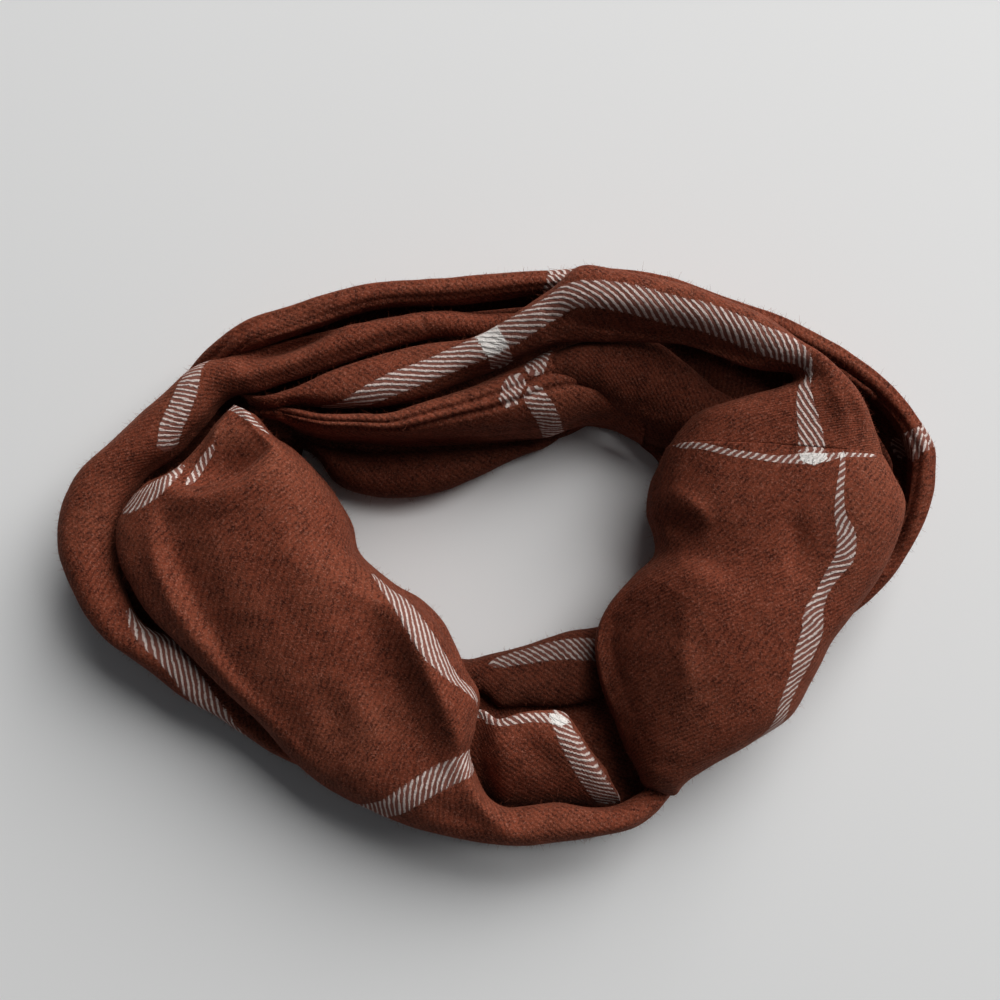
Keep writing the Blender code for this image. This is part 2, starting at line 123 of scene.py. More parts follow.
# Speckles to a metre: tufts of nap, single fibres, pale fibres in the yarn, the uneven beat
# of the weave, and worn patches.
NAP_SCALE = 880.0
FLECK_SCALE = 1700.0
HEATHER_SCALE = 1150.0
WANDER_SCALE = 160.0
PATCH_SCALE = 22.0

# Where each part of the pattern sets in and is full, as low and high limits of its amount.
GROUND_LINE = (-1.1, 1.1)
TUFT = (0.38, 0.62)
FLECK = (0.42, 0.60)
HEATHER = (0.54, 0.68)
WEAR = (0.40, 0.72)
WHITE_WEAR = (0.35, 0.7)
STRIPE_RIM = (0.93, 1.05)
STRIPE_LINE = (-0.25, 0.80)

# How strongly each part darkens or lightens the yarns, and how much tufts break it up.
LINE_SHARE = 0.28
TUFT_SHARE = 0.42
FLECK_SHARE = 0.25
DARK_START = 0.15
WEAR_SHARE = 0.75
HEATHER_SHARE = 0.42
WHITE_WORN = 0.72
LINE_BREAK = 4.0
WEAR_BREAK = 1.2
STRIPE_FRAY = 0.5
STRIPE_BREAK = 1.6
GROUND_WANDER = 2.2 * MM
STRIPE_WANDER = 0.8 * MM

# The relief of the face, whose parts are shares of its depth, and its gloss.
RELIEF_DEPTH = 0.42 * MM
RELIEF_STRENGTH = 0.85
LINE_RELIEF = -0.25
STRIPE_RELIEF = 0.9
NAP_RELIEF = 1.1
FLECK_RELIEF = 0.6
WANDER_RELIEF = 0.9
ROUGHNESS = 0.86
TUFT_ROUGHNESS = 0.2
SHEEN_WEIGHT = 0.08
SHEEN_ROUGHNESS = 0.45
SPECULAR_LEVEL = 0.12


class Amount:
    """A number in a material, worked out with the usual signs."""

    def __init__(self, finish, socket):
        self.finish = finish
        self.socket = socket

    def result(self, operation, *amounts):
        made = self.finish.node("ShaderNodeMath", {"operation": operation}, dict(enumerate(amounts)))
        return Amount(self.finish, made.outputs[0])

    def __add__(self, other):
        return self.result("ADD", self, other)

    def __radd__(self, other):
        return self.result("ADD", other, self)

    def __sub__(self, other):
        return self.result("SUBTRACT", self, other)

    def __rsub__(self, other):
        return self.result("SUBTRACT", other, self)

    def __mul__(self, other):
        return self.result("MULTIPLY", self, other)

    def __rmul__(self, other):
        return self.result("MULTIPLY", other, self)

    def sine(self):
        return self.result("SINE", self)


class Finish:
    """A material for one cloth, put together node by node."""

    def __init__(self, name):
        self.material = bpy.data.materials.new(name)
        self.material.use_nodes = True
        self.tree = self.material.node_tree
        self.shader = self.tree.nodes["Principled BSDF"]

    def node(self, kind, settings, inputs):
        made = self.tree.nodes.new(kind)
        for key, setting in settings.items():
            setattr(made, key, setting)
        for key, given in inputs.items():
            socket = made.inputs[key]
            if isinstance(given, Amount):
                given = given.socket
            if isinstance(given, bpy.types.NodeSocket):
                self.tree.links.new(given, socket)
            else:
                socket.default_value = given
        return made

    def amount(self, kind, settings, inputs, output):
        return Amount(self, self.node(kind, settings, inputs).outputs[output])

    def colours(self, factor, first, second):
        """From first to second. A Mix node's two colours are its inputs 6 and 7."""
        made = self.node("ShaderNodeMix", {"data_type": "RGBA"}, {0: factor, 6: first, 7: second})
        return made.outputs[2]

    def step(self, amount, low, high):
        """0 below low and 1 above high, with a soft rise between."""
        settings = {"interpolation_type": "SMOOTHSTEP"}
        return self.amount("ShaderNodeMapRange", settings, {0: amount, 1: low, 2: high}, 0)

    def feed(self, name, given):
        source = given.socket if isinstance(given, Amount) else given
        self.tree.links.new(source, self.shader.inputs[name])


def shade_of(colour, amount):
    return (colour[0] * amount, colour[1] * amount, colour[2] * amount, 1.0)


def flannel(name, shade):
    """Brushed twill. shade darkens every yarn, as painted shade for the layers that lie deep under the
    others.
    """
    cloth = Finish(name)
    weave = cloth.node("ShaderNodeUVMap", {"uv_map": "weave"}, {})
    course = cloth.node("ShaderNodeSeparateXYZ", {}, {0: weave.outputs[0]})
    along, across = (Amount(cloth, course.outputs[k]) for k in (0, 1))
    place = cloth.node("ShaderNodeTexCoord", {}, {}).outputs["Object"]

    def speckle(scale, detail, roughness=0.6):
        settings = {"noise_dimensions": "3D"}
        inputs = {"Vector": place, "Scale": scale, "Detail": detail, "Roughness": roughness}
        return cloth.amount("ShaderNodeTexNoise", settings, inputs, 0)

    nap = speckle(NAP_SCALE, detail=2.0)
    fleck = speckle(FLECK_SCALE, detail=1.0)
    heather = speckle(HEATHER_SCALE, detail=1.5, roughness=0.7)
    wander = speckle(WANDER_SCALE, detail=2.0)
    patch = speckle(PATCH_SCALE, detail=2.0)
    tufts = nap - 0.5
    uneven = wander - 0.5
    turns = 2 * math.pi / TWILL_PITCH

    ground_phase = (along - across + uneven * GROUND_WANDER) * turns
    ground_line = cloth.step(ground_phase.sine() + tufts * LINE_BREAK, *GROUND_LINE)
    worn = cloth.step(patch + tufts * WEAR_BREAK, *WEAR) * WEAR_SHARE
    brown = cloth.colours(worn, shade_of(BROWN, shade), shade_of(BROWN_WORN, shade))
    dark_yarn = ground_line * LINE_SHARE + cloth.step(nap, *TUFT) * TUFT_SHARE
    dark_yarn = dark_yarn + cloth.step(fleck, *FLECK) * FLECK_SHARE + uneven - DARK_START
    brown = cloth.colours(dark_yarn, brown, shade_of(BROWN_DEEP, shade))
    pale_fibre = cloth.step(heather, *HEATHER) * HEATHER_SHARE
    brown = cloth.colours(pale_fibre, brown, shade_of(FIBRE_PALE, shade))

    masks = []
    lines = []
    for way in STRIPE_WAYS:
        marks = cloth.node("ShaderNodeAttribute", {"attribute_name": way}, {})
        marks = cloth.node("ShaderNodeSeparateXYZ", {}, {0: marks.outputs["Vector"]})
        phase, edge = Amount(cloth, marks.outputs[0]), Amount(cloth, marks.outputs[2])
        masks.append(1 - cloth.step(edge + tufts * STRIPE_FRAY, *STRIPE_RIM))
        wave = ((phase + uneven * STRIPE_WANDER) * turns).sine()
        lines.append(cloth.step(wave + tufts * STRIPE_BREAK, *STRIPE_LINE))
    clean_white = shade_of(YARN_WHITE, shade)
    worn_white = shade_of(YARN_WHITE, WHITE_WORN * shade)
    white = cloth.colours(cloth.step(fleck, *WHITE_WEAR), clean_white, worn_white)
    coloured = brown
    raised = ground_line * LINE_RELIEF
    for mask, line in zip(masks, lines):
        striped = cloth.colours(line, shade_of(STRIPE_GAP, shade), white)
        coloured = cloth.colours(mask, coloured, striped)
        raised = raised + mask * (line * STRIPE_RELIEF)
    crossing = masks[0] * masks[1]
    coloured = cloth.colours(crossing, coloured, shade_of(YARN_BRIGHT, shade))
    cloth.feed("Base Color", coloured)
    cloth.feed("Roughness", ROUGHNESS + tufts * TUFT_ROUGHNESS)
    height = raised + nap * NAP_RELIEF + fleck * FLECK_RELIEF + wander * WANDER_RELIEF
    relief = {"Strength": RELIEF_STRENGTH, "Distance": RELIEF_DEPTH, "Height": height}
    cloth.feed("Normal", cloth.node("ShaderNodeBump", {}, relief).outputs[0])
    cloth.shader.inputs["Sheen Weight"].default_value = SHEEN_WEIGHT
    cloth.shader.inputs["Sheen Roughness"].default_value = SHEEN_ROUGHNESS
    cloth.shader.inputs["Sheen Tint"].default_value = SHEEN_TINT
    cloth.shader.inputs["Specular IOR Level"].default_value = SPECULAR_LEVEL
    return cloth.material


# The two darker copies carry painted shade for the deep layers, which lie in shadow under the others.
check_flannel = flannel("check_flannel", shade=1.0)
shaded_flannel = flannel("shaded_flannel", shade=0.75)
deep_shade_flannel = flannel("deep_shade_flannel", shade=0.58)

# The outer hem: the far edge of the outer turn, a turned and topstitched hem that stands on
# the surface as a wall about 50 mm high and rolls over at the top, where two white stripes
# cross it. It is loose cloth, held up by its own fold and the layers behind it.

# From here on sizes are in millimetres, and the frame's origin is at RING_CENTRE.
RING_CENTRE = (-5.0, -5.5)
CLOTH_WALL = 1.9

# One row is one section across a stretch. The outer and inner points are the widest points of
# the section, at is the place of the crest between them, and the drops are how far the cloth
# goes on below each widest point.
Section = namedtuple("Section", "out_x out_y out_z in_x in_y in_z at top drop_out drop_in")
# One row is one crease in plan: its start, middle and end, its widths to the left and to the
# right of that line, and how far it stands out of the cloth, negative for a trough.
Fold = namedtuple("Fold", "start_x start_y mid_x mid_y end_x end_y left_width right_width height")
# One row is one row of stitches along a stretch: its place as a share of the way across, and
# the width and depth of the groove that it pulls in.
Groove = namedtuple("Groove", "share width depth")
# A stripe is its slants and its rows. A slant is how far the twill lines run along the stripe
# for each step across it, at the start and the end. One row is one point on its middle.
StripePoint = namedtuple("StripePoint", "x y z width")
# One kind of wave in limp cloth: its height, its length level and upright, and its start.
Wave = namedtuple("Wave", "height level upright start_x start_z")

OUTER_HEM = (
    (-158, 65, 15, -150, 60, 16, 0.5, 19, 10, 0),
    (-146, 79, 26, -139, 72, 28, 0.5, 32, 14, 4),
    (-132, 89, 37, -126, 82, 39, 0.5, 44, 20, 14),
    (-119, 97, 42, -114, 87, 45, 0.5, 50, 26, 14),
    (-95, 105, 44, -91, 95, 47, 0.5, 52, 28, 14),
    (-60, 116, 44, -58, 105, 47, 0.5, 52, 28, 14),
    (-20, 119, 44, -19, 108, 47, 0.5, 52, 28, 14),
    (15, 122, 44, 14, 112, 47, 0.5, 51, 28, 14),
    (47, 123, 44, 46, 113, 46, 0.5, 50, 28, 14),
    (78, 118, 44, 75, 109, 46, 0.5, 50, 28, 14),
    (103, 109, 44, 99, 100, 46, 0.5, 50, 28, 14),
    (131, 99, 44, 126, 90, 46, 0.5, 50, 28, 14),
    (152, 87, 44, 145, 79, 46, 0.5, 50, 28, 14),
    (172, 71, 44, 165, 64, 46, 0.5, 50, 28, 14),
    (185, 53, 45, 177, 48, 47, 0.5, 51, 29, 14),
    (190, 42, 45, 181, 38, 47, 0.5, 51, 29, 14),
    (190, 30, 44, 181, 29, 46, 0.5, 50, 28, 14),
    (186, 10, 42, 178, 12, 44, 0.5, 48, 26, 14),
    (177, -9, 38, 169, -6, 40, 0.5, 44, 22, 14),
    (159, -30, 33, 152, -25, 35, 0.5, 39, 17, 14),
    (143, -43, 27, 138, -37, 29, 0.5, 33, 11, 14),
)

OUTER_HEM_STRIPES = {
    "crosswise": (
        ((-1.0,), (
            (24, 104, 40, 10.5), (25, 112, 49, 10.5), (25.3, 118, 50.5, 11), (25.6, 122, 47, 11),
            (25.8, 123.5, 36, 11), (25.8, 122, 18, 11),
        )),
        ((-1.0,), (
            (173, 39, 36, 10), (177, 41, 47, 10), (182, 44, 50.5, 10.5), (187, 46.5, 48, 10.5),
            (189, 47.5, 38, 10.5), (188, 47, 18, 10.5),
        )),
    ),
}

OUTER_HEM_FOLDS = (
    (-121, 91, -94, 99, -70, 105, 4, 5, -3),
    (124, 86, 160, 65, 177, 32, 3, 9, -13),
    (178, 36, 175, 8, 167, -12, 3, 8, -9),
)

OUTER_HEM_GROOVES = (
    (0.60, 0.9, 1.7),
    (0.71, 1.0, 1.5),
)

# A section's foot draws in by FOOT_TUCK of its drop, and a drop under LEAST_DROP has no foot.
FOOT_TUCK = 0.30
LEAST_DROP = 0.5
QUARTER_SAMPLES = 25
CREASE_SAMPLES = 97
# Creases are full on top of the cloth and fade out down its walls, at this rate.
CREASE_HOLD = 1.6
# Topstitching puckers the cloth by this share of the groove's depth.
PUCKER = 0.14
PUCKER_PITCH = 4.2
PUCKER_FADE = 14.0
BROAD_WAVE = Wave(0.9, 31, 26, 0, 0)
SLUMP_WAVE = Wave(1.5, 60, 7.5, 7, 0)
SMALL_WAVE = Wave(0.22, 9, 9, 0, 3)
# A stripe is read every STRIPE_STEP along its middle. Every COARSE_STEP of these points is used
# to find the cloth within STRIPE_REACH. Cloth that lies more than STRIPE_LAYER above or below
# the stripe's own surface counts as beside it, and the stripe's ends fade over STRIPE_END.
STRIPE_STEP = 0.7
COARSE_STEP = 6
STRIPE_REACH = 16.0
STRIPE_LAYER = 2.5
STRIPE_END = 3.0
NO_STRIPE = np.array([0.0, 0.0, 3.0])

# The surface of each stretch as it is laid, which the nap below grows from.
napped = []


def spline(values, places, wanted):
    """Smooth curve through the rows of values, read at the wanted places."""
    slopes = np.gradient(values, places, axis=0)
    right = np.clip(np.searchsorted(places, wanted), 1, len(places) - 1)
    left = right - 1
    step = (places[right] - places[left])[:, None]
    t = ((wanted - places[left]) / (places[right] - places[left]))[:, None]
    return (
        (1 + 2 * t) * (1 - t) ** 2 * values[left]
        + t * (1 - t) ** 2 * step * slopes[left]
        + t**2 * (3 - 2 * t) * values[right]
        + t**2 * (t - 1) * step * slopes[right]
    )


def travel(line):
    """Distance from the line's first point to each of its points."""
    return np.concatenate([[0.0], np.linalg.norm(np.diff(line, axis=0), axis=1).cumsum()])


def lengthwise(rows, count):
    """The table's rows spread evenly along the stretch, count + 1 sections in all."""
    values = np.array(rows, float)
    places = travel(values[:, 0:2]) + travel(values[:, 3:5])
    return spline(values, places, np.linspace(0.0, places[-1], count + 1))


def section_line(row, fullness, samples):
    """Points across one section: distance from the outer point, and height."""
    width = math.hypot(row.in_x - row.out_x, row.in_y - row.out_y)
    crest = width * row.at
    turn = np.linspace(0.0, math.pi / 2, QUARTER_SAMPLES)
    rise = np.sin(turn) ** fullness
    run = 1 - np.cos(turn) ** fullness
    out_tuck = FOOT_TUCK * row.drop_out * (1 - rise)
    in_tuck = FOOT_TUCK * row.drop_in * (1 - rise)
    out_foot = np.column_stack([out_tuck, row.out_z - row.drop_out * (1 - run)])
    out_side = np.column_stack([crest * run, row.out_z + (row.top - row.out_z) * rise])
    in_side = np.column_stack([width - (width - crest) * run, row.in_z + (row.top - row.in_z) * rise])
    in_foot = np.column_stack([width - in_tuck, row.in_z - row.drop_in * (1 - run)])
    parts = [out_side, in_side[::-1][1:]]
    if row.drop_out > LEAST_DROP:
        parts.insert(0, out_foot[:-1])
    if row.drop_in > LEAST_DROP:
        parts.append(in_foot[::-1][1:])
    line = np.vstack(parts)
    length = travel(line)
    wanted = np.linspace(0.0, length[-1], samples + 1)
    return np.column_stack([np.interp(wanted, length, line[:, k]) for k in (0, 1)])


def laid_points(rows, along, across, fullness):
    """Points of a stretch, section by section, in the order that turns its face up."""
    points = np.zeros((along + 1, across + 1, 3))
    for index, values in enumerate(lengthwise(rows, along)):
        row = Section(*values)
        width = math.hypot(row.in_x - row.out_x, row.in_y - row.out_y)
        heading = np.array([row.in_x - row.out_x, row.in_y - row.out_y]) / width
        line = section_line(row, fullness, across)
        points[index, :, :2] = np.array([row.out_x, row.out_y]) + line[:, :1] * heading
        points[index, :, 2] = line[:, 1]
    face_down = grid_normals(points)[along // 2, across // 2, 2] < 0
    return points[::-1] if face_down else points


def grid_normals(points):
    normals = np.cross(np.gradient(points, axis=1), np.gradient(points, axis=0))
    return normals / np.maximum(np.linalg.norm(normals, axis=2, keepdims=True), 1e-9)


def crease_heights(points, folds):
    """How far each point rises or sinks for the creases of its stretch."""
    offset = np.zeros(points.shape[:2])
    for row in folds:
        fold = Fold(*row)
        t = np.linspace(0.0, 1.0, CREASE_SAMPLES)[:, None]
        start = np.array([fold.start_x, fold.start_y])
        middle = np.array([fold.mid_x, fold.mid_y])
        end = np.array([fold.end_x, fold.end_y])
        guide = 2 * middle - (start + end) / 2
        line = (1 - t) ** 2 * start + 2 * t * (1 - t) * guide + t**2 * end
        ahead = np.gradient(line, axis=0)
        step = points[:, :, None, :2] - line[None, None]
        away = np.hypot(step[..., 0], step[..., 1])
        nearest = away.argmin(axis=2)
        away = away.min(axis=2)
        step = np.take_along_axis(step, nearest[:, :, None, None], axis=2)[:, :, 0]
        on_left = ahead[nearest, 0] * step[..., 1] > ahead[nearest, 1] * step[..., 0]
        fade = np.sin(np.pi * t[nearest, 0]).clip(0.0)
        width = np.where(on_left, fold.left_width, fold.right_width)
        offset += fold.height * fade * np.exp(-((away / width) ** 2))
    return offset


def ripple(spot, wave):
    """Height of one kind of wave at a spot of the cloth."""
    x, y, z = spot
    place = (x / wave.level + wave.start_x, y / wave.level, z / wave.upright + wave.start_z)
    return wave.height * noise.noise(Vector(place))


def limp_waves(points, normals):
    """Small uneven waves of limp cloth, which lie flat on the walls as slumped folds."""
    waves = np.zeros(points.shape[:2])
    for index in np.ndindex(waves.shape):
        spot = points[index]
        steep = 1 - abs(normals[index][2])
        level = ripple(spot, BROAD_WAVE) + ripple(spot, SMALL_WAVE)
        waves[index] = level + steep * ripple(spot, SLUMP_WAVE)
    return waves


def stitched_in(run, down, grooves):
    """How far rows of stitches pull each point in, with the cloth puckered along them."""
    pucker = 1 + PUCKER * np.sin(run * 2 * math.pi / PUCKER_PITCH)
    pucker *= np.clip(np.minimum(run, run[-1] - run) / PUCKER_FADE, 0.0, 1.0)
    pulled = np.zeros(run.shape)
    for row in grooves:
        groove = Groove(*row)
        away = (down - groove.share * down[:, -1:]) / groove.width
        pulled += groove.depth * pucker * np.exp(-(away**2))
    return pulled


def stripe_marks(points, normals, stripes):
    """For each point: phase of the twill lines, distance across, and 1 at the stripe's edge."""
    flat = points.reshape(-1, 3)
    marks = np.tile(NO_STRIPE, (len(flat), 1))
    for slants, rows in stripes:
        rows = np.array(rows, float)
        chord = travel(rows[:, :3])
        wanted = np.linspace(0.0, chord[-1], int(chord[-1] / STRIPE_STEP) + 2)
        read = StripePoint(*spline(rows, chord, wanted).T)
        line = np.column_stack([read.x, read.y, read.z])
        slant = np.linspace(slants[0], slants[-1], len(line))
        pace = np.sqrt(2 / (1 + slant**2))
        course = np.concatenate([[0.0], (pace[1:] * np.diff(wanted)).cumsum()])
        ahead = np.gradient(line, axis=0)
        ahead /= np.linalg.norm(ahead, axis=1, keepdims=True)
        coarse = np.linalg.norm(flat[:, None] - line[None, ::COARSE_STEP], axis=2)
        near = coarse.min(axis=1) < STRIPE_REACH
        spots = flat[near]
        away = np.linalg.norm(spots[:, None] - line[None], axis=2)
        nearest = away.argmin(axis=1)
        carrier = normals.reshape(-1, 3)[near][away.argmin(axis=0)]
        side = np.cross(carrier, ahead)
        step = spots - line[nearest]
        beyond = (step * ahead[nearest]).sum(axis=1)
        across = (step * side[nearest]).sum(axis=1)
        depth = np.maximum(np.abs((step * carrier[nearest]).sum(axis=1)) - STRIPE_LAYER, 0.0)
        at_end = (nearest == 0) | (nearest == len(line) - 1)
        edge = np.hypot(across, depth) / (read.width[nearest] / 2)
        edge += np.where(at_end, np.abs(beyond) / STRIPE_END, 0.0)
        closer = edge < marks[near, 2]
        chosen = np.flatnonzero(near)[closer]
        marks[chosen, 0] = (course[nearest] + (slant * pace)[nearest] * across)[closer]
        marks[chosen, 1] = across[closer]
        marks[chosen, 2] = edge[closer]
    marks[:, :2] *= MM
    return marks


def write_marks(mesh, marks):
    """The stripes' marks as one attribute for each way, which the flannel reads."""
    for way in STRIPE_WAYS:
        layer = mesh.attributes.new(way, "FLOAT_VECTOR", "POINT")
        layer.data.foreach_set("vector", marks[way].ravel())


def cloth_mesh(name, points, weave, marks):
    """The points as a mesh, with the yarns' course in its UV map and the stripes' marks."""
    along, across = points.shape[0] - 1, points.shape[1] - 1
    bm = bmesh.new()
    bmesh.ops.create_grid(bm, x_segments=along, y_segments=across, size=1.0)
    order = []
    for vertex in bm.verts:
        spot = (round((vertex.co.x + 1) / 2 * along), round((vertex.co.y + 1) / 2 * across))
        order.append(spot[0] * (across + 1) + spot[1])
        vertex.co = (Vector(points[spot]) - Vector((*RING_CENTRE, 0.0))) * MM
    bmesh.ops.reverse_faces(bm, faces=bm.faces)
    mesh = bpy.data.meshes.new(name)
    bm.to_mesh(mesh)
    bm.free()
    mesh.shade_smooth()
    corners = np.zeros(len(mesh.loops), np.int32)
    mesh.loops.foreach_get("vertex_index", corners)
    mesh.uv_layers.new(name="weave").data.foreach_set("uv", weave[order][corners].ravel())
    write_marks(mesh, {way: marks[way][order] for way in STRIPE_WAYS})
    return mesh


def walled(mesh, finish):
    """The mesh as a piece with the cloth's thickness, which goes inwards from its face."""
    cloth = bpy.data.objects.new(mesh.name, mesh)
    bpy.context.scene.collection.objects.link(cloth)
    cloth.data.materials.append(finish)
    wall = cloth.modifiers.new("cloth_wall", "SOLIDIFY")
    wall.thickness = CLOTH_WALL * MM
    wall.offset = -1.0
    return cloth


def lay_cloth(
    node, rows, along, across, fullness, folds=(), stripes=None, grooves=(), finish=check_flannel
):
    """One stretch of cloth as a thin sheet, on the same sections as its solid."""
    points = laid_points(rows, along, across, fullness)
    normals = grid_normals(points)
    stripes = stripes or {}
    marks = {way: stripe_marks(points, normals, stripes.get(way, ())) for way in STRIPE_WAYS}
    middle = across // 2
    run = np.repeat(travel(points[:, middle])[:, None], across + 1, axis=1)
    down = np.zeros(points.shape[:2])
    down[:, 1:] = np.linalg.norm(np.diff(points, axis=1), axis=2).cumsum(axis=1)
    weave = np.column_stack([run.ravel(), (down - down[:, middle : middle + 1]).ravel()]) * MM

    sink = crease_heights(points, folds) * np.clip(CREASE_HOLD * normals[:, :, 2], 0.0, 1.0)
    offset = limp_waves(points, normals) - stitched_in(run, down, grooves)
    points = points + normals * offset[:, :, None]
    points[:, :, 2] += sink
    napped.append((points, grid_normals(points)))

    cloth = walled(cloth_mesh(node + "_cloth", points, weave, marks), finish)
    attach(cloth, "root")
    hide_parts(node)


lay_cloth(
    "outer_hem", OUTER_HEM, along=330, across=50, fullness=0.85,
    folds=OUTER_HEM_FOLDS,
    stripes=OUTER_HEM_STRIPES,
    grooves=OUTER_HEM_GROOVES,
)

# The left roll: the outer turn where it comes round the left end, a soft roll that leans on
# the hidden layers. Two white stripes run over it, and the short join of the strip's two ends
# shows on its back.

LEFT_ROLL = (
    (12, 106, 34, 6, 95, 36, 0.5, 40, 6, 1),
    (-8, 103, 39, -14, 93, 41, 0.5, 46, 10, 3),
    (-28, 104, 40, -31, 92, 42, 0.5, 50, 12, 3),
    (-56, 100, 40, -56, 86, 42, 0.5, 51, 12, 3),
    (-80, 95, 39, -80, 78, 42, 0.5, 51, 16, 3),
    (-104, 89, 37, -100, 71, 42, 0.5, 51, 18, 3),
    (-120, 85, 33, -110, 68, 40, 0.5, 50, 16, 4),
    (-138, 81, 30, -124, 66, 38, 0.5, 50, 13, 5),
    (-155, 67, 28, -136, 53, 37, 0.5, 50, 12, 5),
    (-175, 48, 28, -148, 41, 36, 0.5, 50, 12, 8),
    (-192, 32, 28, -163, 29, 35, 0.5, 49, 12, 8),
    (-200, 9, 28, -172.2, 9, 34, 0.5, 48, 12, 8),
    (-199, -6, 28, -174, -5, 34, 0.5, 48, 12, 8),
    (-190, -26, 27, -169, -22, 33, 0.5, 46, 11, 8),
    (-178, -43, 26, -161, -36, 32, 0.5, 43, 10, 8),
    (-159, -57, 25, -142, -44, 30, 0.45, 41, 9, 4),
    (-140, -71, 23, -126, -58, 26, 0.45, 35, 7, 2),
    (-118, -85, 20, -108, -74, 22, 0.45, 28, 4, 2),
    (-98, -97, 18.6, -91, -89, 21.6, 0.45, 24.6, 2, 1),
    (-76, -106, 13, -70, -99, 15, 0.45, 17, 2, 1),
)

LEFT_ROLL_STRIPES = {
    "crosswise": (
        ((0.05,), (
            (-134, 83, 34, 10), (-138, 77, 46, 10), (-140, 68, 51, 10), (-142.5, 58, 51.5, 10),
            (-146, 49, 49, 10), (-149, 42, 44, 10),
        )),
    ),
    "lengthwise": (
        ((2.2,), (
            (-163, -29, 37, 9), (-156, -38, 41, 11), (-149, -46, 41.5, 11), (-141, -57, 38, 11),
            (-134, -68, 33, 11), (-127, -79, 27, 11), (-122, -88, 16, 11),
        )),
    ),
}

LEFT_ROLL_FOLDS = (
    (-118, 66, -77, 80, -35, 95, 3, 3, -2.5),
    (-121, 82, -95, 90, -71, 100, 7, 6, -14),
    (-160, 16, -165, -21, -144, -51, 9, 5, -10),
    (-39, 102, -36, 97, -33, 92, 1, 1, -1.2),
    (-175, 1, -172, -21, -168, -43, 1.2, 1.2, -1),
)

lay_cloth(
    "left_roll", LEFT_ROLL, along=300, across=50, fullness=0.9,
    folds=LEFT_ROLL_FOLDS,
    stripes=LEFT_ROLL_STRIPES,
)

# The stripe band: the upper turn over the back, which rises to a soft crest and turns sharply
# into the right lobe. One white stripe follows its length, with a solid square at a crossing.

STRIPE_BAND = (
    (-119, 68, 33, -115, 63, 32, 0.5, 36, 2, 3),
    (-108, 66, 39, -104, 61.1, 38, 0.5, 43, 2, 3),
    (-95, 69, 41, -92, 62, 40, 0.55, 47, 2, 4),
    (-78, 76, 42, -76, 61, 41, 0.6, 50, 2, 5),
    (-57, 83, 42, -58, 61, 42, 0.62, 52, 2, 5),
    (-33, 89, 43, -36, 65, 42, 0.6, 53, 2, 5),
    (-12, 92, 45, -16, 73, 43, 0.5, 56, 0, 5),
    (6, 100, 50, 2, 79.5, 45, 0.4, 61, 0, 5),
    (20, 109, 56, 15, 85, 48, 0.35, 67, 0, 5),
    (32, 118, 60, 27, 88, 50, 0.35, 73, 1, 4),
    (47, 117, 60, 44, 87.5, 52, 0.35, 75, 2, 3),
    (63, 114, 60, 62, 87, 53, 0.35, 75, 2, 3),
    (80, 110, 60, 79, 85.5, 55, 0.35, 74, 2, 4),
    (96, 104, 59, 93, 81, 57, 0.35, 73, 2, 5),
    (112, 97, 58, 106, 76, 57, 0.35, 72, 2, 5),
    (126, 88, 57, 117, 74, 57, 0.35, 71, 2, 5),
    (139, 79, 56, 126, 73, 57, 0.35, 71, 2, 4),
    (150, 68, 55, 127, 69, 55, 0.35, 71, 2, 4),
    (157, 58, 54, 118, 66, 52, 0.35, 71, 2, 5),
    (161, 50, 52, 103, 63, 48, 0.35, 70, 2, 8),
    (164, 43, 51, 86, 57, 44, 0.35, 69, 2, 14),
    (166, 36.1, 50, 74, 42.8, 38, 0.33, 68, 2, 20),
)

STRIPE_BAND_FOLDS = (
    (-6, 92, 10, 98, 30, 108, 7, 7, 1.5),
    (135, 78, 142, 58, 146, 42, 3, 3, 1.5),
    (141, 71, 151, 56, 156, 42, 3, 3, 1.2),
    (16, 94, 67, 88, 124, 70, 5, 14, -13),
)

STRIPE_BAND_STRIPES = {
    "lengthwise": (
        ((2.4, 1.1), (
            (-78, 59, 36, 9), (-71, 61, 42, 9), (-63, 62.5, 48, 9), (-52, 67.5, 51.5, 9.5),
            (-42, 71.5, 52.5, 10), (-28, 77, 53.5, 10.5), (-16, 82.5, 55.5, 11), (-5, 87, 58, 11),
            (4, 91, 61.5, 11), (17, 98, 67, 11), (27, 103, 71.5, 11), (40, 103.5, 74, 11),
            (58, 100.5, 74.5, 11), (73, 96.5, 73.5, 11), (85, 94, 73, 11), (98, 89.5, 72, 11),
            (110, 84.5, 71, 11), (120, 80.5, 70.5, 11), (126, 76.5, 69, 9), (130, 71, 68, 5),
        )),
        ((-2.2,), (
            (129.5, 73, 67, 2), (128.5, 66, 67, 4.5), (128, 58.5, 68.8, 7), (129.1, 50, 68.7, 9),
            (130.4, 42, 68.2, 10.5), (131, 34, 68.5, 11.5),
        )),
    ),
    "crosswise": (
        ((-1.0,), (
            (-9.5, 97, 47, 10.5), (-7.5, 92, 54, 10.5), (-5, 87, 58, 10.5), (-2.5, 82, 57.5, 10.5),
            (-0.5, 78.5, 51, 10.5), (0, 77, 45, 10.5),
        )),
    ),
}

lay_cloth(
    "stripe_band", STRIPE_BAND, along=300, across=64, fullness=0.9,
    folds=STRIPE_BAND_FOLDS,
    stripes=STRIPE_BAND_STRIPES,
)

# The right lobe: the same turn past the panel seam, a wide soft lobe that narrows towards the
# front. The seam swallows most of a white stripe, and the long stripe starts again beside it.

